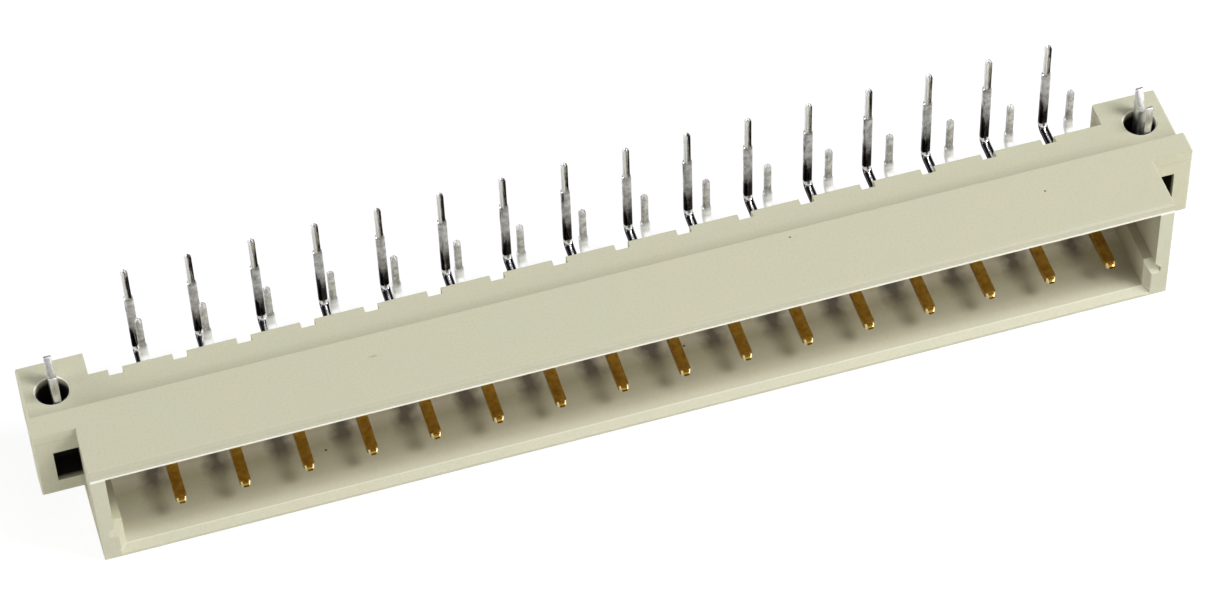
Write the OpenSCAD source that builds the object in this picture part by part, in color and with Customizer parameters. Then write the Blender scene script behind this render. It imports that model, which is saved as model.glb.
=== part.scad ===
/* [Contact field] */
// Contacts in each of the two rows
contact_count = 16; // [4:1:24]
// Step of the position grid; a contact stands on every second position
grid_pitch = 2.54; // [2.3:0.01:3.2]
// Height between the two rows of mating pins
row_gap = 5.08; // [4.8:0.01:5.4]
// Depth of the upper row below the board face
row_depth = 1.8; // [1.6:0.05:2.1]
// Height of the lower row above the cavity floor
floor_room = 2.02; // [1.6:0.02:2.6]
// Distance of the near tails behind the line of the fixing holes
tail_reach = 2.54; // [2.3:0.01:3.2]
// Distance between the near tails and the far tails
tail_gap = 5.08; // [3.5:0.01:6.5]

/* [Housing] */
// Height of the shroud and its ledge above the board face
ledge_rise = 1; // [0.6:0.05:1.5]
// Distance from the hole line forward to the riser of the ledge
ledge_reach = 2.85; // [2.4:0.05:3.2]
// Distance from the hole line forward to the front face of the flanges
flange_reach = 4.94; // [4.5:0.02:5.6]
// Length of the shroud ahead of the flanges
shroud_reach = 4.85; // [4.4:0.05:6]
// Distance from the hole line back to the rear face of the body
rear_reach = 0.76; // [0.5:0.02:1]
// Thickness of the upper wall of the shroud
top_wall = 0.88; // [0.6:0.02:1.1]
// Thickness of the lower wall of the shroud
bottom_wall = 0.85; // [0.7:0.05:1.1]
// Thickness of the end walls of the shroud
end_wall = 1.15; // [0.9:0.05:1.5]
// Space between the last grid position and an end wall
end_room = 3.06; // [2.7:0.02:3.4]
// Depth of the shroud cavity
cavity_depth = 7.4; // [6.8:0.1:7.8]
// Small bevel along the outer edges
edge_bevel = 0.12; // [0.05:0.01:0.2]
// Radius of the upper front edge of the shroud
lip_r = 0.35; // [0.15:0.05:0.5]

/* [Coding ribs] */
// Thickness of the ribs on the end walls of the cavity
rib_w = 0.73; // [0.5:0.01:0.9]
// Depth of the top of the ribs below the board face
rib_top = 5.85; // [5:0.05:6.6]
// Height of the lead-in bevel on the cavity floor
lead_in_h = 0.5; // [0.3:0.05:0.55]
// Width of the lead-in bevel on the ribs
lead_in_w = 0.5; // [0.3:0.05:0.6]
// Depth of both lead-in bevels
lead_in_depth = 0.6; // [0.4:0.05:1]
// Height of the slope at the front of a rib's top
nose_h = 1.2; // [0.8:0.05:1.5]
// Depth of that slope
nose_depth = 0.75; // [0.5:0.05:1]
// How far the slope goes into the end wall beside the rib
nose_out = 0.5; // [0.1:0.05:0.7]

/* [Flanges] */
// Distance from the last grid position to a fixing hole
hole_offset = 5.08; // [4.6:0.02:5.3]
// Diameter of the fixing holes
hole_d = 2.65; // [2.5:0.05:3]
// Bevel round the rim of the fixing holes
hole_rim = 0.12; // [0.05:0.01:0.2]
// Distance from a fixing hole to the outer side of its flange
flange_out = 2.35; // [2.1:0.05:2.8]
// Distance from a fixing hole to the inner side of the rear block
flange_in = 2.99; // [2.4:0.01:3.3]
// Distance from the hole line back to the rear side of the flanges
flange_back = 2.95; // [2.4:0.05:3.6]
// Thickness of the flanges below the board face
flange_h = 6.2; // [5.6:0.05:7]
// Amount by which the front plate stands out beside the rear block
plate_lip = 0.2; // [0.05:0.01:0.35]
// Bevel along the upper outer edge of the flanges
flange_bevel = 0.15; // [0.1:0.05:0.5]

/* [Flange pockets] */
// Width of the pocket in the front face of each flange
pocket_w = 2; // [1.4:0.05:2.4]
// Height of the pocket
pocket_h = 3.4; // [2.4:0.05:3.7]
// Depth of the top of the pocket below the board face
pocket_top = 1.35; // [0.8:0.05:1.8]
// How far the pocket goes into the flange
pocket_depth = 2.2; // [1:0.1:2.6]

/* [Rear grooves] */
// Width of the grooves in the rear face
groove_w = 1.15; // [0.8:0.05:1.4]
// Depth of the grooves
groove_depth = 0.7; // [0.4:0.05:0.9]

/* [Contacts] */
// Thickness of the strip that a whole contact is made of
strip_t = 0.6; // [0.52:0.01:0.7]
// Width of the mating pins
pin_w = 0.9; // [0.8:0.01:1]
// Distance of the pin tips behind the front of the shroud
pin_setback = 1.5; // [1.2:0.05:2.2]
// Length of the four-sided taper at the pin tips
pin_taper = 0.45; // [0.4:0.05:1.2]
// Width of the flat end of the pin tips
pin_tip_w = 0.5; // [0.2:0.02:0.6]
// Height of the flat end of the pin tips
pin_tip_h = 0.28; // [0.1:0.02:0.4]
// Depth to which the full pin section goes into the insulating wall
pin_seat = 1.6; // [1:0.05:2.1]
// Width of the wire behind the pins
wire_w = 0.74; // [0.62:0.01:0.78]
// Inner radius of the bend below the tails
bend_r = 0.3; // [0.2:0.05:0.7]
// Width of the solder end of the tails
tail_w = 0.55; // [0.4:0.01:0.6]
// Thickness of the solder end of the tails
tail_t = 0.5; // [0.4:0.01:0.52]
// Height of the tail tips above the board face
tail_rise = 2.87; // [2.4:0.01:4]
// Length of the narrow solder end
tail_len = 3.32; // [3:0.01:4]
// Length of the taper at the tail tips
tail_taper = 0.34; // [0.2:0.02:0.6]
// Bevel along the edges of the wire
wire_bevel = 0.1; // [0.04:0.01:0.12]

/* [Board clips] */
// Thickness of the clip sheet
clip_t = 0.6; // [0.5:0.01:0.75]
// Offset of the clips beside the centre of their holes
clip_shift = 0.2; // [0:0.01:0.35]
// Gap between the corners of the prongs and the wall of the hole
prong_room = 0.025; // [0.015:0.005:0.1]
// Width of the slot between the two prongs
slot_w = 0.5; // [0.3:0.05:0.8]
// Amount by which a barb stands out beside its prong
barb = 0.1; // [0.05:0.01:0.12]
// Height of the barbs above the board face
barb_rise = 0.9; // [0.6:0.05:1.6]
// Height of the prong tips above the board face
prong_rise = 2.75; // [2.4:0.05:3.6]
// Width of the prong tips
prong_tip = 0.24; // [0.16:0.02:0.36]
// Depth of the slot between the prongs below the board face
slot_drop = 2.6; // [1.6:0.1:3.4]
// Width of the clip foot
foot_w = 4.2; // [3.6:0.1:4.6]
// Height of the clip foot
foot_h = 0.9; // [0.6:0.05:1.2]

/* [Hidden] */
// Running gap round pressed-in metal pieces
fit_gap = 0.02;
// Extra length of every cut beyond the face that it opens
over = 1;
// Length by which the narrower length of a contact runs on inside the wider one
joint_run = 0.3;

position_count = 2 * contact_count;
grid_len = (position_count - 1) * grid_pitch;
contact_pitch = 2 * grid_pitch;
// Contacts stand on the even positions and grooves on the odd ones
first_groove_x = -grid_len / 2;
first_contact_x = first_groove_x + grid_pitch;

cavity_x = grid_len / 2 + end_room;
shroud_x = cavity_x + end_wall;
rib_x = cavity_x - rib_w;
hole_x = grid_len / 2 + hole_offset;
flange_x = hole_x + flange_out;
flange_in_x = hole_x - flange_in;

front_y = -flange_reach - shroud_reach;
cavity_back_y = front_y + cavity_depth;
pin_tip_y = front_y + pin_setback;
pin_end_y = cavity_back_y + pin_seat;

upper_z = -row_depth;
lower_z = upper_z - row_gap;
floor_z = lower_z - floor_room;
bottom_z = floor_z - bottom_wall;
ceiling_z = ledge_rise - top_wall;
near_y = tail_reach;
far_y = tail_reach + tail_gap;
shoulder_z = tail_rise - tail_len;

round_fn = 48;
bend_fn = 48;

housing_colour = "#cdc7a6";
gold_colour = "#d9a441";
tin_colour = "#c9c9cc";
clip_colour = "#b9b9b4";

function contact_x(i) = first_contact_x + i * contact_pitch;
function groove_x(i) = first_groove_x + i * contact_pitch;
function two_digits(n) = n < 10 ? str("0", n) : str(n);
function contact_name(row, i) = str(row, "_contact_", two_digits(i + 1));

UPPER = [for (i = [0 : contact_count - 1]) contact_name("upper", i)];
LOWER = [for (i = [0 : contact_count - 1]) contact_name("lower", i)];

// Extrudes a side view, drawn as (y, z), along X over the given width
module along_x(width) {
    rotate([90, 0, 90])
        linear_extrude(height = width, center = true) children();
}

// Extrudes a front view, drawn as (x, z), from y0 to y1
module along_y(y0, y1) {
    translate([0, y1, 0])
        rotate([90, 0, 0])
            linear_extrude(height = y1 - y0) children();
}

// Extrudes a plan, drawn as (x, y), from z0 to z1
module along_z(z0, z1) {
    translate([0, 0, z0])
        linear_extrude(height = z1 - z0) children();
}

// Box between two corners
module box(low, high) {
    translate(low) cube(high - low);
}

// Rectangle about the origin with its corners cut off
module bevelled_rect(w, h, cut) {
    polygon([
        [-w / 2 + cut, -h / 2], [w / 2 - cut, -h / 2], [w / 2, -h / 2 + cut], [w / 2, h / 2 - cut],
        [w / 2 - cut, h / 2], [-w / 2 + cut, h / 2], [-w / 2, h / 2 - cut], [-w / 2, -h / 2 + cut]
    ]);
}

module both_ends() {
    children();
    mirror([1, 0, 0]) children();
}

// Shroud and body in one bar, with the ledge that stops the board's edge
module housing_core() {
    b = edge_bevel;
    height = ledge_rise - bottom_z;
    lip = [for (a = [180 : -22.5 : 90]) [front_y + lip_r * (1 + cos(a)), ledge_rise - lip_r * (1 - sin(a))]];
    intersection() {
        along_x(2 * shroud_x)
            polygon(concat([[front_y + b, bottom_z], [front_y, bottom_z + b]], lip, [
                [-ledge_reach - b, ledge_rise], [-ledge_reach, ledge_rise - b],
                [-ledge_reach, 0], [rear_reach - b, 0], [rear_reach, -b],
                [rear_reach, bottom_z + b], [rear_reach - b, bottom_z]
            ]));
        along_y(front_y, rear_reach)
            translate([0, ledge_rise - height / 2])
                bevelled_rect(2 * shroud_x, height, b);
    }
}

// Block of a flange from y0 to y1, up to top and out to side, with its outer edges bevelled
module flange_block(y0, y1, side, top) {
    b = edge_bevel;
    fb = flange_bevel;
    intersection() {
        along_x(2 * side)
            polygon([
                [y0 + b, -flange_h], [y1 - b, -flange_h], [y1, -flange_h + b],
                [y1, top - b], [y1 - b, top], [y0, top], [y0, -flange_h + b]
            ]);
        along_y(y0, y1)
            polygon([
                [flange_in_x, -flange_h], [side - b, -flange_h], [side, -flange_h + b],
                [side, top - fb], [side - fb, top], [flange_in_x, top]
            ]);
        along_z(-flange_h, top)
            polygon([
                [flange_in_x, y0], [side - b, y0], [side, y0 + b],
                [side, y1 - b], [side - b, y1], [flange_in_x + b, y1], [flange_in_x, y1 - b]
            ]);
    }
}

// Flange: the rear block, and the front plate that stands higher and a little wider
module flange() {
    flange_block(-flange_reach, -ledge_reach, flange_x + plate_lip, ledge_rise);
    flange_block(-flange_reach + edge_bevel, flange_back, flange_x, 0);
}

// Open front of the shroud, less the coding ribs
module cavity() {
    difference() {
        box([-cavity_x, front_y - over, floor_z], [cavity_x, cavity_back_y, ceiling_z]);
        both_ends()
            box([rib_x, front_y - 2 * over, floor_z - over],
                [cavity_x + over, cavity_back_y + over, -rib_top]);
    }
    lead_in();
    both_ends() rib_nose();
}

// Bevel that guides the mating half over the floor and between the ribs
module lead_in() {
    intersection() {
        along_x(2 * cavity_x)
            polygon([
                [front_y, floor_z - lead_in_h], [front_y + lead_in_depth, floor_z],
                [front_y + lead_in_depth, -rib_top], [front_y, -rib_top]
            ]);
        along_z(floor_z - lead_in_h, -rib_top)
            polygon([
                [-rib_x - lead_in_w, front_y], [rib_x + lead_in_w, front_y],
                [rib_x, front_y + lead_in_depth], [-rib_x, front_y + lead_in_depth]
            ]);
    }
}

// Slope at the front of a rib's top, cut a little into the end wall beside it
module rib_nose() {
    top = -rib_top;
    bottom = -rib_top - nose_h;
    intersection() {
        along_x(2 * shroud_x)
            polygon([[front_y, top], [front_y, bottom], [front_y + nose_depth, top]]);
        along_y(front_y, front_y + nose_depth)
            polygon([
                [rib_x - lead_in_w, top], [cavity_x, top], [cavity_x + nose_out, (top + bottom) / 2],
                [cavity_x + nose_out, bottom], [rib_x - lead_in_w, bottom]
            ]);
    }
}

// Stepped passage that one contact is pressed into
module contact_passage(x, z) {
    pin = pin_w / 2 + fit_gap;
    wire = wire_w / 2 + fit_gap;
    half_t = strip_t / 2 + fit_gap;
    box([x - pin, cavity_back_y - over, z - half_t], [x + pin, pin_end_y, z + half_t]);
    box([x - wire, pin_end_y - over, z - half_t], [x + wire, rear_reach + over, z + half_t]);
}

// Blind pocket in the front face of a flange, beside the shroud
module flange_pocket() {
    box([shroud_x, -flange_reach - over, -pocket_top - pocket_h],
        [shroud_x + pocket_w, -flange_reach + pocket_depth, -pocket_top]);
}

// Fixing hole at a signed hole position, with the recess that its clip's foot sits in
module fixing_hole(x) {
    translate([x, 0, -flange_h - over])
        cylinder(h = flange_h + 2 * over, d = hole_d, $fn = round_fn);
    translate([x, 0, -hole_rim])
        cylinder(h = 2 * hole_rim, d1 = hole_d, d2 = hole_d + 4 * hole_rim, $fn = round_fn);
    side = [clip_t / 2 + fit_gap, foot_w / 2 + fit_gap];
    box([x + clip_shift - side.x, -side.y, -flange_h - over],
        [x + clip_shift + side.x, side.y, -flange_h + foot_h]);
}

module rear_groove(x) {
    box([x - groove_w / 2, rear_reach - groove_depth, bottom_z - over],
        [x + groove_w / 2, rear_reach + over, over]);
}

module housing() {
    color(housing_colour)
        difference() {
            union() {
                housing_core();
                both_ends() flange();
            }
            cavity();
            both_ends() flange_pocket();
            for (side = [-1, 1]) fixing_hole(side * hole_x);
            for (i = [0 : contact_count - 1]) {
                contact_passage(contact_x(i), upper_z);
                contact_passage(contact_x(i), lower_z);
                rear_groove(groove_x(i));
            }
        }
}

// Outline of a pin along Y, half as wide as half, that narrows to the given half width at its tip
function pin_outline(half, tip) = [
    [-tip, pin_tip_y], [tip, pin_tip_y], [half, pin_tip_y + pin_taper],
    [half, pin_end_y], [-half, pin_end_y], [-half, pin_tip_y + pin_taper]
];

// Mating pin along Y about the origin's line, tapered on four sides at its front
module mating_pin() {
    side = pin_outline(strip_t / 2, pin_tip_h / 2);
    intersection() {
        along_z(-strip_t / 2, strip_t / 2) polygon(pin_outline(pin_w / 2, pin_tip_w / 2));
        along_x(pin_w) polygon([for (p = side) [p.y, p.x]]);
        along_y(pin_tip_y, pin_end_y) bevelled_rect(pin_w, strip_t, wire_bevel / 2);
    }
}

// Wire from the pin back to its bend and up, ending below the board face
module bent_wire(tail_y, row_z) {
    turn = bend_r + strip_t / 2;
    along_y(pin_end_y - joint_run, tail_y - turn) bevelled_rect(wire_w, strip_t, wire_bevel);
    translate([0, tail_y - turn, turn])
        rotate([90, 0, 90])
            rotate([0, 0, -90])
                rotate_extrude(angle = 90, $fn = bend_fn)
                    translate([turn, 0])
                        bevelled_rect(strip_t, wire_w, wire_bevel);
    translate([0, tail_y, 0])
        along_z(turn, shoulder_z - row_z) bevelled_rect(wire_w, strip_t, wire_bevel);
}

// Narrow solder end with a tapered tip
module solder_end() {
    w = tail_w / 2;
    t = tail_t / 2;
    tip = tail_taper / 2;
    taper_z = tail_rise - tail_taper;
    root_z = shoulder_z - joint_run;
    intersection() {
        along_z(root_z, tail_rise) bevelled_rect(tail_w, tail_t, wire_bevel);
        along_y(-t, t)
            polygon([
                [-w, root_z], [w, root_z], [w, taper_z],
                [w - tip, tail_rise], [tip - w, tail_rise], [-w, taper_z]
            ]);
        along_x(tail_w)
            polygon([
                [-t, root_z], [t, root_z], [t, taper_z],
                [t - tip, tail_rise], [tip - t, tail_rise], [-t, taper_z]
            ]);
    }
}

// One contact: gold mating pin in front, tinned wire and solder tail behind
module contact(x, row_z, tail_y) {
    color(gold_colour) translate([x, 0, row_z]) mating_pin();
    color(tin_colour) {
        translate([x, 0, row_z]) bent_wire(tail_y, row_z);
        translate([x, tail_y, 0]) solder_end();
    }
}

// Flat stamped fork: a foot in the flange's recess and two barbed prongs above the board face
module board_clip(x) {
    corner_x = clip_shift + clip_t / 2;
    out = sqrt(pow(hole_d / 2 - prong_room, 2) - pow(corner_x, 2));
    inner = slot_w / 2;
    foot_top = -flange_h + foot_h;
    side = [
        [foot_w / 2, -flange_h], [foot_w / 2, foot_top], [out, foot_top],
        [out, barb_rise - barb], [out + barb, barb_rise], [out, prong_rise],
        [out - prong_tip, prong_rise], [inner, barb_rise], [inner, -slot_drop]
    ];
    other_side = [for (i = [len(side) - 1 : -1 : 0]) [-side[i].x, side[i].y]];
    color(clip_colour)
        translate([x + clip_shift, 0, 0])
            along_x(clip_t) polygon(concat(side, other_side));
}

housing();
board_clip(-hole_x);  // board_clip_left
board_clip(hole_x);  // board_clip_right
for (i = [0 : contact_count - 1]) {
    contact(contact_x(i), upper_z, near_y);
    contact(contact_x(i), lower_z, far_y);
}
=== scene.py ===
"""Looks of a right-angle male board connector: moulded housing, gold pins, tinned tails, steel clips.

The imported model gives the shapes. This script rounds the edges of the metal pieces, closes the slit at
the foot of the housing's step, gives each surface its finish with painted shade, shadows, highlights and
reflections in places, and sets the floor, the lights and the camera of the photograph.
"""

import math

import bmesh
import bpy
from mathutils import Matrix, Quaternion, Vector


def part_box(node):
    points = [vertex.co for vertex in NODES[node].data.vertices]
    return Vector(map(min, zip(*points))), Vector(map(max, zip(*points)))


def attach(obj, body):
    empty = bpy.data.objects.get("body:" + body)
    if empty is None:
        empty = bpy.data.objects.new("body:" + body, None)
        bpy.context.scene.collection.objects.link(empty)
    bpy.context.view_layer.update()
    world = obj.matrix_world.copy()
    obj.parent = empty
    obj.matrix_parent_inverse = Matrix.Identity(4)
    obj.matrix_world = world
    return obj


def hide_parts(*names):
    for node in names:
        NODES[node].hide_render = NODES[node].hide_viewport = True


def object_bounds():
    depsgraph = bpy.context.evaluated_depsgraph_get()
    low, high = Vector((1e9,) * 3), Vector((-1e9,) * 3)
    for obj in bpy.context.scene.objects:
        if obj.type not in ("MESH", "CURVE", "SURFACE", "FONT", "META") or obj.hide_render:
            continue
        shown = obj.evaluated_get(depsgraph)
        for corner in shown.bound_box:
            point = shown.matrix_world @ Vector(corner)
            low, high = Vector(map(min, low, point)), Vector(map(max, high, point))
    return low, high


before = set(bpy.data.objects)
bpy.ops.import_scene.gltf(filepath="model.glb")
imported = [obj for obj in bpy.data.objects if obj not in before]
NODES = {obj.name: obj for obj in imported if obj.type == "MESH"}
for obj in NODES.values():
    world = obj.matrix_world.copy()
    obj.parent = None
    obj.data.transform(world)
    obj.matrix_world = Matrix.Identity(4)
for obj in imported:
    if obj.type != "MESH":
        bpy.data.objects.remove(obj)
CAD_LOW, CAD_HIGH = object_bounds()
MM = 0.001


def mm(*lengths):
    """Lengths in millimetres, taken to metres."""
    return tuple(length * MM for length in lengths)


# Camera, as the photograph was taken, and the nearest and furthest that it sees, in metres
PHOTO_WIDTH = 1227
SENSOR_WIDTH = 36.0
FOCAL_PIXELS = 4221.1
CAMERA_PLACE = Vector((-54.740, -205.042, 253.288)) * MM
CAMERA_AIM = Vector((-0.945, -4.686, 0.0)) * MM
CAMERA_ROLL = math.radians(-2.241)
CAMERA_RANGE = (0.01, 10.0)

# Soft square lights that face the part, as name, place and side in metres, and power in watts
LIGHTS = (
    ("key", (0.34, -0.18, 0.46), 0.20, 2.4),
    ("fill", (0.46, -0.66, 0.16), 0.50, 2.0),
    ("left", (-0.45, 0.10, 0.12), 0.25, 1.1),
)

# Even light from all round: its strength in front and behind, and where along Y one turns into the other
ROOM_LIGHT = 0.46
ROOM_STRENGTH = (1.12 * ROOM_LIGHT, 0.6 * ROOM_LIGHT)
ROOM_TURN_Y = (-0.3, 0.7)

# White panels that reflections see, by the directions between which each fades, and the tone of the gaps
ABOVE_Z = (0.84, 0.92)
IN_FRONT_Y = (-0.15, 0.05)
IN_FRONT_Z = (0.15, 0.35)
STRIP_X = (0.10, 0.24)
STRIP_X_FADE = 0.05
STRIP_Y = (0.2, 0.3)
STRIP_Z = (0.3, 0.4)
PANEL_GAP = 0.06

# Floor: half its side, in metres, and the gap under the part
FLOOR_HALF = 2.0
FLOOR_GAP = 0.02 * MM

# Floor colour for light and reflections; the camera sees the glow and a darker tone that takes the shadow
FLOOR = (0.86, 0.86, 0.86)
FLOOR_GLOW = 0.86
FLOOR_SHADOW = (0.2, 0.2, 0.2)

# Shaded strip of floor round the part, as reflections see it
SHADE = (0.030, 0.022, 0.018)
SHADE_STRENGTH = 0.96
SHADE_REACH = 6.0 * MM
SHADE_MIDDLE_Y = -1.0 * MM
SHADE_HALF_DEPTH = 9.0 * MM

# Colours, linear
PLASTIC = (0.610, 0.604, 0.451)
PLASTIC_WARM = (0.630, 0.606, 0.450)
PLASTIC_PAINTED_LIGHT = (0.940, 0.920, 0.800)
GRAIN_AND_SHADE_TONE = (0.360, 0.330, 0.250)
PAINTED_RECESS_SHADE = (0.018, 0.014, 0.012)
SMEAR = (0.400, 0.300, 0.120)
PAINTED_PIN_SHADOW = (0.110, 0.085, 0.085)
SPECK = (0.030, 0.022, 0.018)
GOLD = (0.720, 0.430, 0.085)
GOLD_DARK = (0.500, 0.270, 0.040)
GOLD_PAINTED_SHADE = (0.200, 0.100, 0.016)
GOLD_PAINTED_GLINT = (1.000, 0.860, 0.480)
TIN = (0.860, 0.860, 0.870)
TIN_PAINTED_HIGHLIGHT = (0.970, 0.970, 0.960)
TIN_DULL = (0.420, 0.410, 0.410)
TIN_PAINTED_DARK_REFLECTION = (0.060, 0.050, 0.060)
CLIP = (0.900, 0.900, 0.890)
CLIP_DULL = (0.550, 0.545, 0.540)

# Roughness; where there are two, the first is the smoother end
PLASTIC_ROUGH = (0.36, 0.46)
PIN_ROUGH = (0.12, 0.30)
TIN_ROUGH = (0.08, 0.20)
SATIN_TIN_ROUGH = 0.48
CLIP_ROUGH = (0.32, 0.46)

# Contrast of the patterns: the part of the noise over which a tone comes in
MOTTLE_CONTRAST = (0.35, 0.65)
GRAIN_CONTRAST = (0.45, 0.75)
GRAIN_STRENGTH = 0.16
SKIN_CONTRAST = (0.3, 0.7)
RAGGED_CONTRAST = (0.3, 0.7)
STAIN_CONTRAST = (0.38, 0.66)
STREAK_CONTRAST = (0.48, 0.60)
CLIP_CONTRAST = (0.40, 0.75)
CLIP_ROUGH_CONTRAST = (0.3, 0.7)

# Housing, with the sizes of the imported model
FRONT_Y = -9.79 * MM
HOLE_X = 44.45 * MM
HOLE_RADIUS = 1.325 * MM
POCKET_X = mm(43.58, 45.58)
POCKET_Y = mm(-4.94, -2.74)
POCKET_Z = mm(-4.75, -1.35)
FLANGE_LOW_Z = -6.20 * MM
STEP_Y = -2.85 * MM
CAVITY_X = 42.43 * MM
CAVITY_BACK_Y = -2.39 * MM
CAVITY_Z = mm(-8.90, 0.12)

# Moulding under the foot of the step: how deep it reaches into the cavity, and how far into the housing
STEP_ROOT = 0.90 * MM
STEP_ROOT_OVERLAP = 0.03 * MM


def behind_front(*depths):
    """Places along Y, in metres, at these millimetres behind the front face."""
    return tuple(FRONT_Y + depth * MM for depth in depths)


# How far a tone reaches past the face that it lies on, and the width over which it then fades
PAST_FACE = 0.03 * MM

# Painted shade of the holes, pockets and cavity: where it fades, and how strong it is in the cavity
HOLE_SHADE_Z = mm(-0.9, -0.2)
POCKET_FADE = 0.5 * MM
CAVITY_SHADE_Y = behind_front(1.0, 2.5)
CAVITY_STRENGTH = 0.50

# Board face behind the step, which stays out of the cavity's painted shade
BOARD_FACE_Y = (STEP_Y - 0.03 * MM, STEP_Y - 0.01 * MM)
BOARD_FACE_Z = mm(-0.04, -0.02)

# Floor of the cavity: where its painted shade ends, where painted light makes it pale, and where the
# painted pin shadows lie
FLOOR_SIDE_FADE = 0.1 * MM
FLOOR_SHADE_END_Y = mm(-6.8, -4.8)
PALE_WALL_Y = mm(-4.6, -3.4)
PALE_MOUTH_Y = behind_front(0.5, 1.7)
PALE_MOUTH_STRENGTH = 0.42
# Painted shadows of the pins on the cavity floor
PIN_SHADOW_Y = mm(-6.0, -4.2)
PIN_SHADOW_ACROSS = mm(0.25, 1.35)
PIN_SHADOW_WANDER = mm(-0.3, 0.3)
PIN_SHADOW_STRENGTH = 0.82

# Painted highlights on edges of the shroud and on the rims of the fixing holes
LIP_CORNER_Y = behind_front(0.05, 0.1)
LIP_CORNER_Z = mm(0.06, 0.28)
LIP_CORNER_FADE = 0.08 * MM
LOWER_EDGE_Y = behind_front(0.5, 0.7)
LOWER_EDGE_Z = mm(-9.0, -8.4)
LOWER_EDGE_STRENGTH = 0.05
RIM_RADIUS = mm(1.38, 1.44)
RIM_Z = mm(-0.13, 0.01)

# Painted shade on the front face of the upper lip: its flat part and, stronger, its upper rounding
LIP_FACE_Y = behind_front(0.24, 0.34)
LIP_FLAT_Z = mm(0.30, 0.40)
LIP_FLAT_STRENGTH = 0.14
LIP_ROUNDING_Z = mm(0.60, 0.75)
LIP_ROUNDING_STRENGTH = 0.22

# Painted shade on the board face along the foot of the step
FOOT_Y = mm(-2.3, -1.2)
FOOT_Z = mm(-0.02, 0.02)
FOOT_Z_FADE = 0.02 * MM
FOOT_STRENGTH = 0.38

# Specks on the moulding, as place and radius in millimetres, and the share of the radius that is full
SPECKS = (
    ((13.79, -3.65, 1.00), 0.11),
    ((34.36, -5.32, 1.00), 0.11),
    ((-40.50, -9.79, 0.89), 0.07),
    ((26.98, -9.79, -8.74), 0.09),
    ((4.92, -3.88, -8.90), 0.14),
    ((-24.83, -5.25, -8.90), 0.14),
)
SPECK_CORE = 0.5
SPECK_STRENGTH = 0.9

# One brown smear, narrower along Y than along X
SMEAR_PLACE = Vector((-20.29, -5.13, 1.00)) * MM
SMEAR_SQUEEZE = 3.4
SMEAR_REACH = mm(0.15, 0.60)
SMEAR_WANDER = 0.25 * MM
SMEAR_STRENGTH = 0.7

# Spacing of the contacts, where the middle of one stands, and how far from it a painted pin shadow lies
PITCH = 5.08 * MM
PITCH_SHIFT = -1.27 * MM
PIN_SHADOW_SHIFT = -1.49 * MM

# Contacts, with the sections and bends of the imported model
STRIP = 0.60 * MM
WIRE_WIDTH = 0.74 * MM
PIN_END_Y = -0.79 * MM
PIN_TAPER = 0.45 * MM
PIN_TIP = mm(0.50, 0.28)
BEND_RADIUS = 0.30 * MM
TAIL_SECTION = mm(0.55, 0.50)
TAIL_LENGTH = 3.32 * MM
TAIL_TAPER = 0.34 * MM

# Rounded edges and ends of the metal pieces
PIN_EDGE = 0.06 * MM
WIRE_EDGE = 0.24 * MM
TAIL_EDGE = 0.15 * MM
CLIP_EDGE = 0.05 * MM
END_ROUND = 0.05 * MM
CORNER_STEPS = 4
BEND_STEPS = 10
CLIP_EDGE_STEPS = 2

# Sections at the rounded ends, as shares of the full ones
TIP_END = 0.85
TIP_FULL = 1.04
TAPER_ROOT = (0.95, 0.94)
SHOULDER = (0.90, 0.93)
TAIL_END = 0.6

# Angle below which faces are one flat, and those above which an edge is rounded and shading stays sharp
FLAT_ANGLE = math.radians(1)
EDGE_ANGLE = math.radians(15)
SHARP_ANGLE = math.radians(38)

# Distance within which two points of a mesh are one
SAME_POINT = 0.001 * MM

# Gold plate, which ends inside the insulating wall, and its painted shade and painted glints near the tip
# of the pin
PLATING_END_Y = mm(-1.55, -1.45)
TAPER_SHADE_Y = mm(-7.95, -7.80)
TAPER_SHADE_STRENGTH = 0.45
BLUNT_END_Y = mm(-8.26, -8.20)
CORNER_ACROSS = mm(0.20, 0.28)
CORNER_Y = mm(-8.30, -8.00)
CORNER_FADE = 0.08 * MM
PIN_ROUGH_Y = mm(-8.05, -7.85)

# Tails of the two rows, where their tin is satin or frosted, and where the near tails' root has a painted
# highlight
FAR_TAIL_Y = mm(5.0, 6.0)
NEAR_TAIL_Y = mm(1.2, 3.2)
NEAR_TAIL_FADE = 0.3 * MM
NEAR_ROOT_Z = mm(-0.8, -0.3)
FAR_SHANK_LOW_Z = mm(-4.9, -3.0)
FAR_SHANK_HIGH_Z = mm(-0.8, -0.4)

# Painted dark reflections, in streaks drawn along the far tails; a bias makes them denser above 0 and
# thinner below it
STREAK_DRAW = (1.0, 0.2, 0.12)
STREAK_LOW_Z = mm(-6.35, -6.15)
STREAK_TURN_Z = mm(-0.6, -0.3)
SHANK_ACROSS = mm(-0.22, 0.12)
SHANK_BIAS = (0.16, -0.16)
TIP_ACROSS = mm(-0.15, 0.20)
TIP_BIAS = (-0.16, 0.16)
BEND_BIAS_Z = mm(-6.1, -3.4)
BEND_BIAS = (0.15, -0.20)
END_BIAS_Z = mm(-0.6, -0.2)
END_BIAS = (0.0, 0.17)

# Painted dark reflections on the sides of the far wires, painted highlights on their bends and on the
# sides of their tips
WIRE_SIDE_ACROSS = mm(0.07, 0.13)
WIRE_SIDE_Y = mm(2.0, 2.3)
WIRE_SIDE_Z = mm(-6.56, -6.50)
WIRE_SIDE_STRENGTH = 0.90
BEND_SPOT_Y = mm(6.85, 6.95)
BEND_SPOT_Z = mm(-6.50, -6.28)
BEND_SPOT_FADE = 0.06 * MM
TIP_SIDE_Z = mm(-0.5, -0.3)
TIP_SIDE_ACROSS = mm(-0.12, 0.0)

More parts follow.
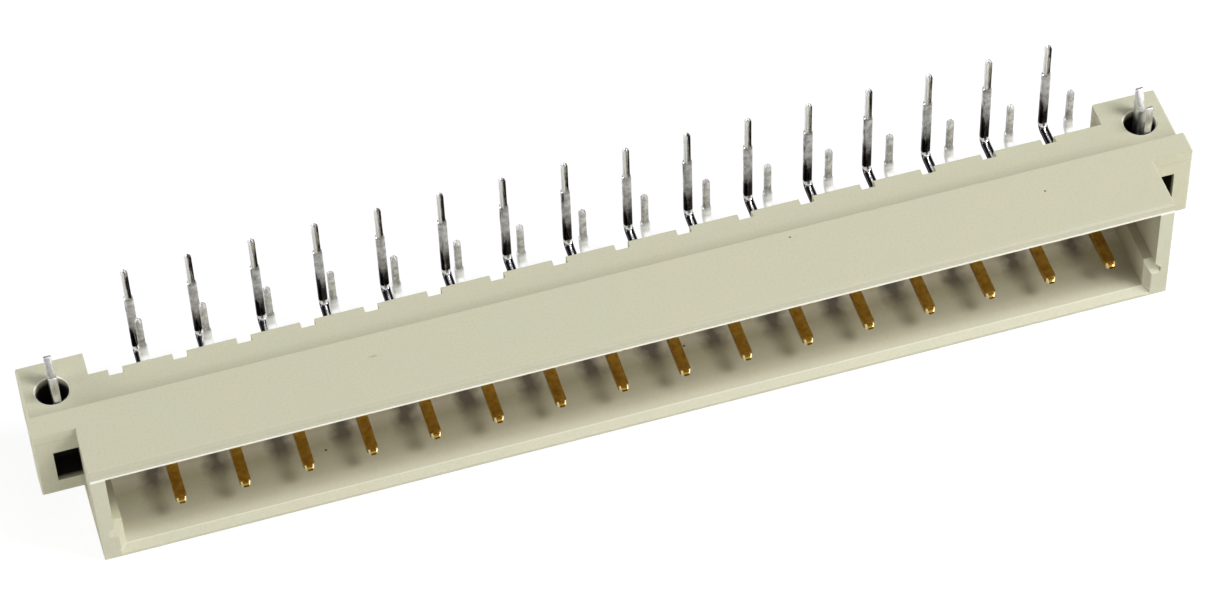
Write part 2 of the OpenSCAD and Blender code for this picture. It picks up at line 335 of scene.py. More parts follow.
# How much less metallic each frosted place is
FROST_SHANK = 0.45
FROST_CORNER = 0.8
FROST_BEND = 0.9
FROST_TIP = 0.6

# Waves in the plate, as the share on gold and on tin
WAVES_GOLD = 0.3
WAVES_TIN = 1.0

# Drawn lines of the clips, stretched up the prongs
CLIP_DRAW = (1.0, 1.0, 0.12)


def empty_material(name):
    """A node material with only its output, then its tree and the socket for its surface."""
    material = bpy.data.materials.new(name)
    material.use_nodes = True
    tree = material.node_tree
    tree.nodes.clear()
    output = tree.nodes.new("ShaderNodeOutputMaterial")
    return material, tree, output.inputs["Surface"]


def new_material(name):
    """A node material with one surface shader, then its tree and the shader."""
    material, tree, surface = empty_material(name)
    shader = tree.nodes.new("ShaderNodeBsdfPrincipled")
    tree.links.new(shader.outputs["BSDF"], surface)
    return material, tree, shader


def object_place(tree):
    """The point of the surface in the part's own frame, in metres."""
    return tree.nodes.new("ShaderNodeTexCoord").outputs["Object"]


def noise(tree, place, per_mm, detail=3.0, rough=0.55):
    """Noise with the given number of cells per millimetre."""
    made = tree.nodes.new("ShaderNodeTexNoise")
    made.inputs["Scale"].default_value = per_mm / MM
    made.inputs["Detail"].default_value = detail
    made.inputs["Roughness"].default_value = rough
    tree.links.new(place, made.inputs["Vector"])
    return made.outputs["Fac"]


def drawn_noise(tree, place, draw, per_mm):
    """Noise stretched into lines; draw says how much of it is kept along each axis."""
    stretch = tree.nodes.new("ShaderNodeMapping")
    stretch.inputs["Scale"].default_value = draw
    tree.links.new(place, stretch.inputs["Vector"])
    return noise(tree, stretch.outputs["Vector"], per_mm)


def ramp(tree, value, limits, results):
    """The value taken from the pair of limits to the pair of results, and held there outside."""
    made = tree.nodes.new("ShaderNodeMapRange")
    made.clamp = True
    tree.links.new(value, made.inputs["Value"])
    made.inputs["From Min"].default_value = limits[0]
    made.inputs["From Max"].default_value = limits[1]
    made.inputs["To Min"].default_value = results[0]
    made.inputs["To Max"].default_value = results[1]
    return made.outputs["Result"]


def rise(tree, value, limits, strength=1.0):
    """0 below the limits, rising to the strength above them."""
    return ramp(tree, value, limits, (0.0, strength))


def fall(tree, value, limits, strength=1.0):
    """The strength below the limits, falling to 0 above them."""
    return ramp(tree, value, limits, (strength, 0.0))


def maths(tree, operation, *values):
    """Result of a math node; each value is a number or an output."""
    made = tree.nodes.new("ShaderNodeMath")
    made.operation = operation
    for socket, value in zip(made.inputs, values):
        if isinstance(value, float):
            socket.default_value = value
        else:
            tree.links.new(value, socket)
    return made.outputs[0]


def all_of(tree, *shares):
    """Product of several shares."""
    result = shares[0]
    for share in shares[1:]:
        result = maths(tree, "MULTIPLY", result, share)
    return result


def any_of(tree, *shares):
    """Greatest of several shares."""
    result = shares[0]
    for share in shares[1:]:
        result = maths(tree, "MAXIMUM", result, share)
    return result


def between(tree, value, limits, fade):
    """1 where the value is within the limits, falling to 0 over the fade outside them."""
    low, high = limits
    return all_of(tree, rise(tree, value, (low - fade, low)), fall(tree, value, (high, high + fade)))


def mix_colour(tree, share, first, second):
    """Colour between first and second; each is a colour or an output."""
    made = tree.nodes.new("ShaderNodeMix")
    made.data_type = "RGBA"
    tree.links.new(share, made.inputs["Factor"])
    for socket, value in ((6, first), (7, second)):
        if isinstance(value, tuple):
            made.inputs[socket].default_value = (*value, 1.0)
        else:
            tree.links.new(value, made.inputs[socket])
    return made.outputs[2]


def layered(tree, colour, layers):
    """The colour with each layer's own colour laid over it by the layer's share, in order."""
    for share, laid in layers:
        colour = mix_colour(tree, share, colour, laid)
    return colour


def mix_value(tree, share, first, second):
    """Value between first and second; each is a number or an output."""
    made = tree.nodes.new("ShaderNodeMix")
    made.data_type = "FLOAT"
    tree.links.new(share, made.inputs["Factor"])
    for socket, value in ((2, first), (3, second)):
        if isinstance(value, float):
            made.inputs[socket].default_value = value
        else:
            tree.links.new(value, made.inputs[socket])
    return made.outputs[0]


def mix_shader(tree, share, first, second):
    """Shader between two shader nodes."""
    made = tree.nodes.new("ShaderNodeMixShader")
    tree.links.new(share, made.inputs["Fac"])
    tree.links.new(first.outputs[0], made.inputs[1])
    tree.links.new(second.outputs[0], made.inputs[2])
    return made.outputs[0]


def bump(tree, shader, height, strength, distance):
    """Gives the shader a relief of this height."""
    made = tree.nodes.new("ShaderNodeBump")
    made.inputs["Strength"].default_value = strength
    made.inputs["Distance"].default_value = distance
    tree.links.new(height, made.inputs["Height"])
    tree.links.new(made.outputs["Normal"], shader.inputs["Normal"])


def vector_maths(tree, operation, first, second=(0.0, 0.0, 0.0)):
    """Node that works on an output and a fixed vector."""
    made = tree.nodes.new("ShaderNodeVectorMath")
    made.operation = operation
    tree.links.new(first, made.inputs[0])
    made.inputs[1].default_value = second
    return made


def distance(tree, place, centre, squeeze=1.0):
    """Distance from the centre in metres, with what lies along Y counted squeeze times."""
    offset = vector_maths(tree, "SUBTRACT", place, centre)
    weighed = vector_maths(tree, "MULTIPLY", offset.outputs["Vector"], (1.0, squeeze, 1.0))
    return vector_maths(tree, "LENGTH", weighed.outputs["Vector"]).outputs["Value"]


def axes(tree, vector):
    """X, Y and Z of a vector."""
    parts = tree.nodes.new("ShaderNodeSeparateXYZ")
    tree.links.new(vector, parts.inputs["Vector"])
    return parts.outputs


def part_axes(tree, place):
    """Distance from the middle along X, then Y and Z, of the point in the part's frame."""
    x, y, z = axes(tree, place)
    return maths(tree, "ABSOLUTE", x), y, z


def from_hole_axis(tree, side, y):
    """Distance from the axis of the nearer fixing hole."""
    across = maths(tree, "SUBTRACT", side, HOLE_X)
    squares = maths(tree, "ADD", maths(tree, "MULTIPLY", across, across), maths(tree, "MULTIPLY", y, y))
    return maths(tree, "SQRT", squares)


def beside_contact(tree, place, shift):
    """Distance along X from a line that stands at shift from the middle of the nearest contact."""
    x, _, _ = axes(tree, place)
    from_line = maths(tree, "SUBTRACT", x, PITCH_SHIFT + shift)
    return maths(tree, "WRAP", from_line, PITCH / 2, -PITCH / 2)


def painted_recess_shade_share(tree, place):
    """1 deep in the fixing holes and the flange pockets, where shade is painted near black."""
    side, y, z = part_axes(tree, place)
    wall = HOLE_RADIUS + PAST_FACE
    hole = all_of(
        tree,
        fall(tree, from_hole_axis(tree, side, y), (wall, wall + PAST_FACE)),
        fall(tree, z, HOLE_SHADE_Z),
        rise(tree, z, (FLANGE_LOW_Z - PAST_FACE, FLANGE_LOW_Z)),
    )
    front, back = POCKET_Y
    pocket = all_of(
        tree,
        between(tree, side, (POCKET_X[0] - PAST_FACE, POCKET_X[1] + PAST_FACE), PAST_FACE),
        between(tree, z, (POCKET_Z[0] - PAST_FACE, POCKET_Z[1] + PAST_FACE), PAST_FACE),
        rise(tree, y, (front + PAST_FACE, front + POCKET_FADE)),
        fall(tree, y, (back + PAST_FACE, back + PAST_FACE + POCKET_FADE)),
    )
    return any_of(tree, hole, pocket)


def floor_share(tree, side, z):
    """1 on the floor of the shroud's cavity."""
    floor = CAVITY_Z[0]
    return all_of(
        tree,
        fall(tree, side, (CAVITY_X - FLOOR_SIDE_FADE, CAVITY_X)),
        between(tree, z, (floor - PAST_FACE, floor + PAST_FACE), PAST_FACE),
    )


def cavity_share(tree, place):
    """Shade in the open front of the shroud: 0 at its mouth, 1 inside, 0 again far back on its floor."""
    side, y, z = part_axes(tree, place)
    board_face = all_of(tree, rise(tree, z, BOARD_FACE_Z), rise(tree, y, BOARD_FACE_Y))
    back_floor = all_of(tree, floor_share(tree, side, z), rise(tree, y, FLOOR_SHADE_END_Y))
    wall_x = CAVITY_X + PAST_FACE
    wall_y = CAVITY_BACK_Y + PAST_FACE
    return all_of(
        tree,
        maths(tree, "SUBTRACT", 1.0, board_face),
        maths(tree, "SUBTRACT", 1.0, back_floor),
        fall(tree, side, (wall_x, wall_x + PAST_FACE)),
        between(tree, z, (CAVITY_Z[0] - PAST_FACE, CAVITY_Z[1] + PAST_FACE), PAST_FACE),
        rise(tree, y, CAVITY_SHADE_Y),
        fall(tree, y, (wall_y, wall_y + PAST_FACE)),
    )


def painted_pin_shadow_share(tree, place):
    """Painted shadows of the pins on the floor of the shroud, in soft lines between the pins towards the
    insulating wall.
    """
    side, y, z = part_axes(tree, place)
    beside = maths(tree, "ABSOLUTE", beside_contact(tree, place, PIN_SHADOW_SHIFT))
    wander = ramp(tree, noise(tree, place, per_mm=0.8, detail=4.0), RAGGED_CONTRAST, PIN_SHADOW_WANDER)
    ragged = maths(tree, "ADD", beside, wander)
    return all_of(
        tree,
        fall(tree, ragged, PIN_SHADOW_ACROSS, PIN_SHADOW_STRENGTH),
        floor_share(tree, side, z),
        rise(tree, y, PIN_SHADOW_Y),
    )


def painted_floor_light_share(tree, place):
    """Painted light on the floor of the shroud, paler at the foot of the wall and at the mouth."""
    side, y, z = part_axes(tree, place)
    at_wall = rise(tree, y, PALE_WALL_Y)
    at_mouth = fall(tree, y, PALE_MOUTH_Y, PALE_MOUTH_STRENGTH)
    return all_of(tree, floor_share(tree, side, z), any_of(tree, at_wall, at_mouth))


def painted_edge_highlight_share(tree, place):
    """Painted highlights on edges: the lower corner of the shroud's upper lip, its lower edge and the
    holes' rims.
    """
    side, y, z = part_axes(tree, place)
    lip = all_of(
        tree,
        fall(tree, y, LIP_CORNER_Y),
        between(tree, z, LIP_CORNER_Z, LIP_CORNER_FADE),
    )
    lower_edge = all_of(
        tree,
        fall(tree, y, LOWER_EDGE_Y),
        fall(tree, z, LOWER_EDGE_Z, LOWER_EDGE_STRENGTH),
    )
    rim = all_of(
        tree,
        fall(tree, from_hole_axis(tree, side, y), RIM_RADIUS),
        between(tree, z, RIM_Z, PAST_FACE),
    )
    return any_of(tree, lip, lower_edge, rim)


def lip_face_shade_share(tree, place):
    """Painted shade on the front face of the shroud's upper wall above its highlighted corner, a little
    darker than the top.
    """
    _, y, z = part_axes(tree, place)
    flat = rise(tree, z, LIP_FLAT_Z, LIP_FLAT_STRENGTH)
    rounding = rise(tree, z, LIP_ROUNDING_Z, LIP_ROUNDING_STRENGTH)
    return all_of(tree, fall(tree, y, LIP_FACE_Y), maths(tree, "ADD", flat, rounding))


def painted_step_shade_share(tree, place):
    """Painted shade on the board face, along the foot of the step."""
    _, y, z = part_axes(tree, place)
    return all_of(tree, between(tree, z, FOOT_Z, FOOT_Z_FADE), fall(tree, y, FOOT_Y, FOOT_STRENGTH))


def marks(tree, place):
    """Layers for the small specks of the photograph and one brown smear."""
    layers = []
    for centre, radius in SPECKS:
        away = distance(tree, place, Vector(centre) * MM)
        reach = mm(SPECK_CORE * radius, radius)
        layers.append((fall(tree, away, reach, SPECK_STRENGTH), SPECK))
    away = distance(tree, place, SMEAR_PLACE, SMEAR_SQUEEZE)
    wander = maths(tree, "MULTIPLY", noise(tree, place, per_mm=6.0), SMEAR_WANDER)
    ragged = maths(tree, "ADD", away, wander)
    layers.append((fall(tree, ragged, SMEAR_REACH, SMEAR_STRENGTH), SMEAR))
    return layers


def moulded_plastic():
    """Grey-beige glass-filled plastic with a faint mottle and a fine moulded skin."""
    material, tree, shader = new_material("moulded_plastic")
    place = object_place(tree)
    mottle = rise(tree, noise(tree, place, per_mm=0.3, detail=6.0, rough=0.7), MOTTLE_CONTRAST)
    grain = rise(tree, noise(tree, place, per_mm=5.0, detail=2.0), GRAIN_CONTRAST, GRAIN_STRENGTH)
    layers = [
        (grain, GRAIN_AND_SHADE_TONE),
        # Painted shade on the front face of the upper lip
        (lip_face_shade_share(tree, place), GRAIN_AND_SHADE_TONE),
        # Painted shade at the foot of the step
        (painted_step_shade_share(tree, place), GRAIN_AND_SHADE_TONE),
        # Painted shade inside the shroud's cavity
        (maths(tree, "MULTIPLY", cavity_share(tree, place), CAVITY_STRENGTH), GRAIN_AND_SHADE_TONE),
        # Painted light on the cavity floor
        (painted_floor_light_share(tree, place), PLASTIC_PAINTED_LIGHT),
        # Painted shadows of the pins on the cavity floor
        (painted_pin_shadow_share(tree, place), PAINTED_PIN_SHADOW),
        # Painted shade, near black, deep in the holes and pockets
        (painted_recess_shade_share(tree, place), PAINTED_RECESS_SHADE),
        # Painted highlights on the shroud's edges and the holes' rims
        (painted_edge_highlight_share(tree, place), PLASTIC_PAINTED_LIGHT),
    ]
    plain = mix_colour(tree, mottle, PLASTIC, PLASTIC_WARM)
    colour = layered(tree, plain, layers + marks(tree, place))
    tree.links.new(colour, shader.inputs["Base Color"])
    skin = noise(tree, place, per_mm=2.2, detail=4.0, rough=0.6)
    tree.links.new(ramp(tree, skin, SKIN_CONTRAST, PLASTIC_ROUGH), shader.inputs["Roughness"])
    bump(tree, shader, skin, strength=0.12, distance=0.02 * MM)
    return material


def dark_reflection_streak_share(tree, place, across, z):
    """Painted dark reflections as drawn lines, denser on one side of the shank, on the other side of the
    tip, and at the bend.
    """
    lines = drawn_noise(tree, place, STREAK_DRAW, per_mm=3.2)
    on_tip = ramp(tree, across, TIP_ACROSS, TIP_BIAS)
    on_shank = ramp(tree, across, SHANK_ACROSS, SHANK_BIAS)
    biases = (
        mix_value(tree, rise(tree, z, STREAK_TURN_Z), on_shank, on_tip),
        ramp(tree, z, BEND_BIAS_Z, BEND_BIAS),
        ramp(tree, z, END_BIAS_Z, END_BIAS),
    )
    for bias in biases:
        lines = maths(tree, "ADD", lines, bias)
    return all_of(tree, rise(tree, z, STREAK_LOW_Z), rise(tree, lines, STREAK_CONTRAST))


def tail_shares(tree, across, y, z):
    """Where the parts of the wires and tails lie that get painted dark reflections, painted highlights, or
    satin or frosted tin, by name.
    """
    beside = rise(tree, maths(tree, "ABSOLUTE", across), WIRE_SIDE_ACROSS)
    far_tail = rise(tree, y, FAR_TAIL_Y)
    near_tail = between(tree, y, NEAR_TAIL_Y, NEAR_TAIL_FADE)
    near_root = all_of(tree, near_tail, fall(tree, z, NEAR_ROOT_Z))
    far_shank = all_of(tree, far_tail, rise(tree, z, FAR_SHANK_LOW_Z), fall(tree, z, FAR_SHANK_HIGH_Z))
    low_side = fall(tree, z, WIRE_SIDE_Z, WIRE_SIDE_STRENGTH)
    wire_side = all_of(tree, rise(tree, y, WIRE_SIDE_Y), low_side, beside)
    inner_bend = between(tree, z, BEND_SPOT_Z, BEND_SPOT_FADE)
    bend_spot = all_of(tree, rise(tree, y, BEND_SPOT_Y), inner_bend, beside)
    tip_side = all_of(tree, far_tail, rise(tree, z, TIP_SIDE_Z), fall(tree, across, TIP_SIDE_ACROSS))
    return {
        "far_tail": far_tail,
        "near_tail": near_tail,
        "near_root": near_root,
        "far_shank": far_shank,
        "wire_side": wire_side,
        "bend_spot": bend_spot,
        "tip_side": tip_side,
    }


def tip_glint_share(tree, across, y):
    """Painted glints on the corners near the tip of the pin."""
    from_middle = maths(tree, "ABSOLUTE", across)
    return all_of(tree, rise(tree, from_middle, CORNER_ACROSS), between(tree, y, CORNER_Y, CORNER_FADE))


def gold_colour(tree, y, stain, corner):
    """Stained gold, with painted shade on the taper of the pin and painted glints on its corners."""
    # Painted shade on the taper of the pin
    taper = all_of(tree, fall(tree, y, TAPER_SHADE_Y, TAPER_SHADE_STRENGTH), rise(tree, y, BLUNT_END_Y))
    plain = mix_colour(tree, stain, GOLD, GOLD_DARK)
    return layered(tree, plain, ((taper, GOLD_PAINTED_SHADE), (corner, GOLD_PAINTED_GLINT)))


def tin_colour(tree, stain, streak, tails):
    """Stained tin with painted dark reflections in streaks and on the wires' sides, and painted
    highlights.
    """
    layers = (
        # Painted dark reflections
        (streak, TIN_PAINTED_DARK_REFLECTION),
        (tails["wire_side"], TIN_PAINTED_DARK_REFLECTION),
        # Painted highlights on the bends, the sides of the tips and the near tails' roots
        (tails["bend_spot"], TIN_PAINTED_HIGHLIGHT),
        (tails["tip_side"], TIN_PAINTED_HIGHLIGHT),
        (tails["near_root"], TIN_PAINTED_HIGHLIGHT),
    )
    return layered(tree, mix_colour(tree, stain, TIN, TIN_DULL), layers)


def frosted_share(tree, corner, tails):
    """Where the metal is frosted, so that it reflects less; on the painted highlights this lets their
    colour show.
    """
    shares = [tails["near_root"]]
    weighed = (
        (tails["far_shank"], FROST_SHANK),
        (corner, FROST_CORNER),
        (tails["bend_spot"], FROST_BEND),
        (tails["tip_side"], FROST_TIP),
    )
    for share, strength in weighed:
        shares.append(maths(tree, "MULTIPLY", share, strength))
    return any_of(tree, *shares)


def contact_metal():
    """Gold plate on the mating pin, bright tin on the wire behind the insulating wall."""
    material, tree, shader = new_material("contact_metal")
    place = object_place(tree)
    _, y, z = part_axes(tree, place)
    across = beside_contact(tree, place, 0.0)
    stain = rise(tree, noise(tree, place, per_mm=1.8, detail=5.0, rough=0.65), STAIN_CONTRAST)
    behind = rise(tree, y, PLATING_END_Y)
    # Painted glints on the corners of the pin's tip, which are also made less metallic
    corner = tip_glint_share(tree, across, y)
    tails = tail_shares(tree, across, y, z)

    # Painted dark reflections in streaks on the far tails
    streak = all_of(tree, tails["far_tail"], dark_reflection_streak_share(tree, place, across, z))
    gold = gold_colour(tree, y, stain, corner)
    tin = tin_colour(tree, stain, streak, tails)
    tree.links.new(mix_colour(tree, behind, gold, tin), shader.inputs["Base Color"])

    pin_rough = ramp(tree, y, PIN_ROUGH_Y, PIN_ROUGH)
    tin_rough = ramp(tree, stain, (0.0, 1.0), TIN_ROUGH)
    polished = mix_value(tree, behind, pin_rough, tin_rough)
    satin = any_of(tree, tails["near_tail"], tails["far_shank"])
    tree.links.new(mix_value(tree, satin, polished, SATIN_TIN_ROUGH), shader.inputs["Roughness"])

    frosted = frosted_share(tree, corner, tails)
    tree.links.new(mix_value(tree, frosted, 1.0, 0.0), shader.inputs["Metallic"])
    waves = mix_value(tree, behind, WAVES_GOLD, WAVES_TIN)
    wavy = maths(tree, "MULTIPLY", noise(tree, place, per_mm=1.4), waves)
    bump(tree, shader, wavy, strength=0.3, distance=0.03 * MM)
    return material


def clip_metal():
    """Stamped sheet with faint drawn lines up the prongs."""
    material, tree, shader = new_material("clip_metal")
    lines = drawn_noise(tree, object_place(tree), CLIP_DRAW, per_mm=5.0)
    dull = rise(tree, lines, CLIP_CONTRAST)
    tree.links.new(mix_colour(tree, dull, CLIP, CLIP_DULL), shader.inputs["Base Color"])
    tree.links.new(ramp(tree, lines, CLIP_ROUGH_CONTRAST, CLIP_ROUGH), shader.inputs["Roughness"])
    shader.inputs["Metallic"].default_value = 1.0
    bump(tree, shader, lines, strength=0.2, distance=0.01 * MM)
    return material


def section(width, thickness, edge):
    """Points of a rectangle with rounded corners, each across and out from its middle."""
    edge = min(edge, width / 2, thickness / 2)
    points = []
    for quarter, (side, face) in enumerate(((1, 1), (-1, 1), (-1, -1), (1, -1))):
        for step in range(CORNER_STEPS + 1):
            angle = math.pi / 2 * (quarter + step / CORNER_STEPS)
            across = side * (width / 2 - edge) + edge * math.cos(angle)
            out = face * (thickness / 2 - edge) + edge * math.sin(angle)
            points.append((across, out))
    return points


def contact_stations(low, high):
    """Sections along a contact: place in Y and Z, angle turned so far, width, thickness, edge."""
    pin_width = high.x - low.x
    row_z = low.z + STRIP / 2
    tail_y = high.y - STRIP / 2
    turn = BEND_RADIUS + STRIP / 2
    shoulder_z = high.z - TAIL_LENGTH
    taper_y = low.y + PIN_TAPER
    tip_width, tip_thickness = PIN_TIP
    root_width, root_thickness = TAPER_ROOT[0] * pin_width, TAPER_ROOT[1] * STRIP
    stations = [
        (low.y, row_z, 0.0, TIP_END * tip_width, TIP_END * tip_thickness, PIN_EDGE),
        (low.y + END_ROUND, row_z, 0.0, TIP_FULL * tip_width, TIP_FULL * tip_thickness, PIN_EDGE),
        (taper_y - END_ROUND, row_z, 0.0, root_width, root_thickness, PIN_EDGE),
        (taper_y + END_ROUND, row_z, 0.0, pin_width, STRIP, PIN_EDGE),
        (PIN_END_Y, row_z, 0.0, pin_width, STRIP, PIN_EDGE),
        (PIN_END_Y, row_z, 0.0, WIRE_WIDTH, STRIP, WIRE_EDGE),
    ]
    for step in range(BEND_STEPS + 1):
        angle = math.pi / 2 * step / BEND_STEPS
        y = tail_y - turn + turn * math.sin(angle)
        z = row_z + turn - turn * math.cos(angle)
        stations.append((y, z, angle, WIRE_WIDTH, STRIP, WIRE_EDGE))
    up = math.pi / 2
    width, thickness = TAIL_SECTION
    end_width, end_thickness = width - TAIL_TAPER, thickness - TAIL_TAPER
    stations += [
        (tail_y, shoulder_z - END_ROUND, up, WIRE_WIDTH, STRIP, WIRE_EDGE),
        (tail_y, shoulder_z, up, SHOULDER[0] * WIRE_WIDTH, SHOULDER[1] * STRIP, WIRE_EDGE),
        (tail_y, shoulder_z + END_ROUND, up, width, thickness, TAIL_EDGE),
        (tail_y, high.z - TAIL_TAPER, up, width, thickness, TAIL_EDGE),
        (tail_y, high.z - END_ROUND, up, end_width, end_thickness, TAIL_EDGE),
        (tail_y, high.z, up, TAIL_END * end_width, TAIL_END * end_thickness, TAIL_EDGE),
    ]
    return stations


def contact_mesh(name):
    """A contact with rounded edges, as sections joined along its run."""
    low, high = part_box(name)
    middle_x = (low.x + high.x) / 2
    mesh = bmesh.new()
    rings = []
    for y, z, angle, width, thickness, edge in contact_stations(low, high):
        ring = []
        for across, out in section(width, thickness, edge):
            corner = (middle_x + across, y - out * math.sin(angle), z + out * math.cos(angle))
            ring.append(mesh.verts.new(corner))
        rings.append(ring)
    for first, second in zip(rings, rings[1:]):
        for index, vertex in enumerate(first):
            after = (index + 1) % len(first)
            mesh.faces.new((vertex, first[after], second[after], second[index]))
    mesh.faces.new(rings[0])
    mesh.faces.new(rings[-1])
    return mesh


def clip_mesh(name):
    """A board clip with the small rounded edges of a stamping."""
    mesh = bmesh.new()
    mesh.from_mesh(NODES[name].data)
    bmesh.ops.remove_doubles(mesh, verts=mesh.verts, dist=SAME_POINT)
    bmesh.ops.dissolve_limit(mesh, angle_limit=FLAT_ANGLE, verts=mesh.verts, edges=mesh.edges)
    edges = [edge for edge in mesh.edges if edge.calc_face_angle(0.0) > EDGE_ANGLE]
    bmesh.ops.bevel(
        mesh, geom=edges, offset=CLIP_EDGE, segments=CLIP_EDGE_STEPS, profile=0.5, affect="EDGES"
    )
    return mesh


def step_root_mesh():
    """One outline in Y and Z, run along the whole cavity."""
    back, top = CAVITY_BACK_Y, CAVITY_Z[1]
    front = STEP_Y - STEP_ROOT
    inside = STEP_ROOT_OVERLAP
    outline = (
        (back, 0.0),
        (STEP_Y, 0.0),
        (STEP_Y, top),
        (STEP_Y - inside, top + inside),
        (front, top + inside),
        (front, top),
        (back, top - STEP_ROOT),
        (back + inside, top - STEP_ROOT),
        (back + inside, -inside),
    )
    mesh = bmesh.new()
    left = [mesh.verts.new((-CAVITY_X, y, z)) for y, z in outline]
    right = [mesh.verts.new((CAVITY_X, y, z)) for y, z in outline]
    for index in range(len(outline)):
        after = (index + 1) % len(outline)
        mesh.faces.new((left[index], left[after], right[after], right[index]))
    mesh.faces.new(left)
    mesh.faces.new(right)
    return mesh


def show(item):
    """Puts an object into the scene."""
    bpy.context.scene.collection.objects.link(item)


def new_piece(name, mesh, material):
    """An object made from the mesh, in the scene and with its material."""
    bmesh.ops.recalc_face_normals(mesh, faces=mesh.faces)
    data = bpy.data.meshes.new(name)
    mesh.to_mesh(data)
    mesh.free()
    data.materials.append(material)
    piece = bpy.data.objects.new(name, data)
    show(piece)
    return piece


def step_root(material):
    """Moulding under the foot of the step, which closes the top of the cavity behind the step."""
    piece = new_piece("step_root", step_root_mesh(), material)
    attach(piece, "root")


def metal_piece(name, mesh, material):
    """A smooth piece that stands for the CAD node of the same name."""
    for face in mesh.faces:
        face.smooth = True
    piece = new_piece(name + "_metal", mesh, material)
    piece.data.set_sharp_from_angle(angle=SHARP_ANGLE)
    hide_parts(name)
    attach(piece, "root")


def dress_all():
    """Gives the housing its finish and puts rounded metal pieces for the clips and the contacts."""
    housing = NODES["housing"]
    housing.data.materials.clear()
    plastic = moulded_plastic()
    housing.data.materials.append(plastic)
    step_root(plastic)
    contact, clip = contact_metal(), clip_metal()
    for name in NODES:
        if name.startswith("board_clip"):
            metal_piece(name, clip_mesh(name), clip)
        elif name != "housing":
            metal_piece(name, contact_mesh(name), contact)


def white_rays(tree, paths):
    """1 for rays that should meet a white background: from the camera, a reflection or through glass."""
    names = ("Is Camera Ray", "Is Glossy Ray", "Is Transmission Ray")
    return any_of(tree, *(paths.outputs[name] for name in names))


def floor_material():
    """White to the camera with a soft shadow; reflections see its shaded strip close to the part."""
    material, tree, surface = empty_material("floor")
    paths = tree.nodes.new("ShaderNodeLightPath")
    side, y, _ = part_axes(tree, object_place(tree))
    beside = maths(tree, "SUBTRACT", side, CAD_HIGH.x)
    from_middle = maths(tree, "ABSOLUTE", maths(tree, "SUBTRACT", y, SHADE_MIDDLE_Y))
    before = maths(tree, "SUBTRACT", from_middle, SHADE_HALF_DEPTH)
    near = fall(tree, any_of(tree, beside, before), (0.0, SHADE_REACH), SHADE_STRENGTH)
    shaded = all_of(tree, near, paths.outputs["Is Glossy Ray"])
    plain = tree.nodes.new("ShaderNodeBsdfDiffuse")
    tree.links.new(mix_colour(tree, shaded, FLOOR, SHADE), plain.inputs["Color"])
    shadowed = tree.nodes.new("ShaderNodeBsdfDiffuse")
    shadowed.inputs["Color"].default_value = (*FLOOR_SHADOW, 1.0)
    glow = tree.nodes.new("ShaderNodeEmission")
    glow.inputs["Strength"].default_value = FLOOR_GLOW
    both = tree.nodes.new("ShaderNodeAddShader")
    tree.links.new(shadowed.outputs[0], both.inputs[0])
    tree.links.new(glow.outputs[0], both.inputs[1])
    tree.links.new(mix_shader(tree, paths.outputs["Is Camera Ray"], plain, both), surface)
    return material


def make_floor():
    """A wide plane just under the part."""
    level = CAD_LOW.z - FLOOR_GAP
    mesh = bpy.data.meshes.new("floor")
    corners = [(x * FLOOR_HALF, y * FLOOR_HALF, level) for x, y in ((-1, -1), (1, -1), (1, 1), (-1, 1))]
    mesh.from_pydata(corners, [], [(0, 1, 2, 3)])
    mesh.materials.append(floor_material())
    floor = bpy.data.objects.new("floor", mesh)
    show(floor)


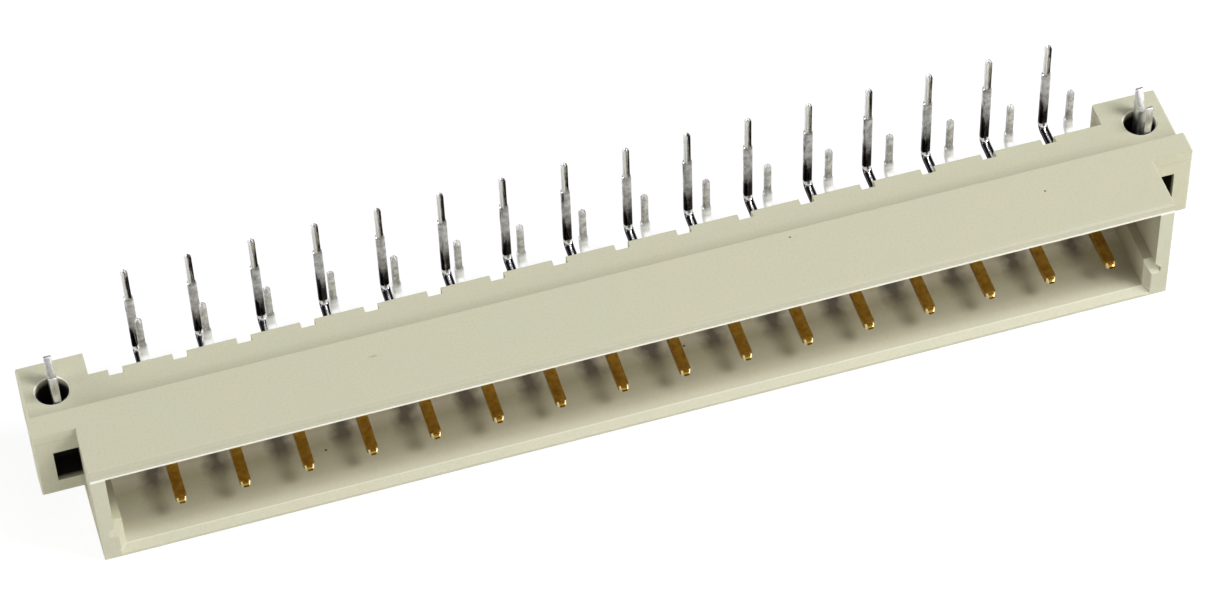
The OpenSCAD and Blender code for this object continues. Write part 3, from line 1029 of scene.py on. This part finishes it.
def make_surroundings():
    """Even white room for the diffuse light; reflections see white panels in front, above and behind."""
    world = bpy.data.worlds.new("studio")
    bpy.context.scene.world = world
    world.use_nodes = True
    tree = world.node_tree
    tree.nodes.clear()
    output = tree.nodes.new("ShaderNodeOutputWorld")
    paths = tree.nodes.new("ShaderNodeLightPath")
    x, y, z = axes(tree, tree.nodes.new("ShaderNodeTexCoord").outputs["Generated"])
    above = rise(tree, z, ABOVE_Z)
    front = all_of(tree, fall(tree, y, IN_FRONT_Y), rise(tree, z, IN_FRONT_Z))
    strip = all_of(
        tree,
        between(tree, x, STRIP_X, STRIP_X_FADE),
        rise(tree, y, STRIP_Y),
        rise(tree, z, STRIP_Z),
    )
    reflected = ramp(tree, any_of(tree, above, front, strip), (0.0, 1.0), (PANEL_GAP, 1.0))
    room = tree.nodes.new("ShaderNodeBackground")
    tree.links.new(ramp(tree, y, ROOM_TURN_Y, ROOM_STRENGTH), room.inputs["Strength"])
    seen = tree.nodes.new("ShaderNodeBackground")
    seen_strength = mix_value(tree, paths.outputs["Is Glossy Ray"], 1.0, reflected)
    tree.links.new(seen_strength, seen.inputs["Strength"])
    tree.links.new(mix_shader(tree, white_rays(tree, paths), room, seen), output.inputs["Surface"])


def make_lights():
    """Soft square lights, each turned to the part."""
    for name, place, side, power in LIGHTS:
        light = bpy.data.lights.new(name, "AREA")
        light.shape = "SQUARE"
        light.size = side
        light.energy = power
        holder = bpy.data.objects.new(name, light)
        holder.location = Vector(place)
        holder.rotation_mode = "QUATERNION"
        holder.rotation_quaternion = (-Vector(place)).to_track_quat("-Z", "Y")
        show(holder)


def make_camera():
    """The camera of the photograph, level along its line of sight and then rolled a little."""
    data = bpy.data.cameras.new("camera")
    data.sensor_width = SENSOR_WIDTH
    data.lens = FOCAL_PIXELS / PHOTO_WIDTH * SENSOR_WIDTH
    data.clip_start, data.clip_end = CAMERA_RANGE
    camera = bpy.data.objects.new("camera", data)
    camera.location = CAMERA_PLACE
    camera.rotation_mode = "QUATERNION"
    level = (CAMERA_AIM - CAMERA_PLACE).to_track_quat("-Z", "Y")
    camera.rotation_quaternion = level @ Quaternion((0.0, 0.0, 1.0), CAMERA_ROLL)
    show(camera)
    bpy.context.scene.camera = camera


make_camera()
dress_all()
make_floor()
make_surroundings()
make_lights()
bpy.context.scene.view_settings.view_transform = "Standard"
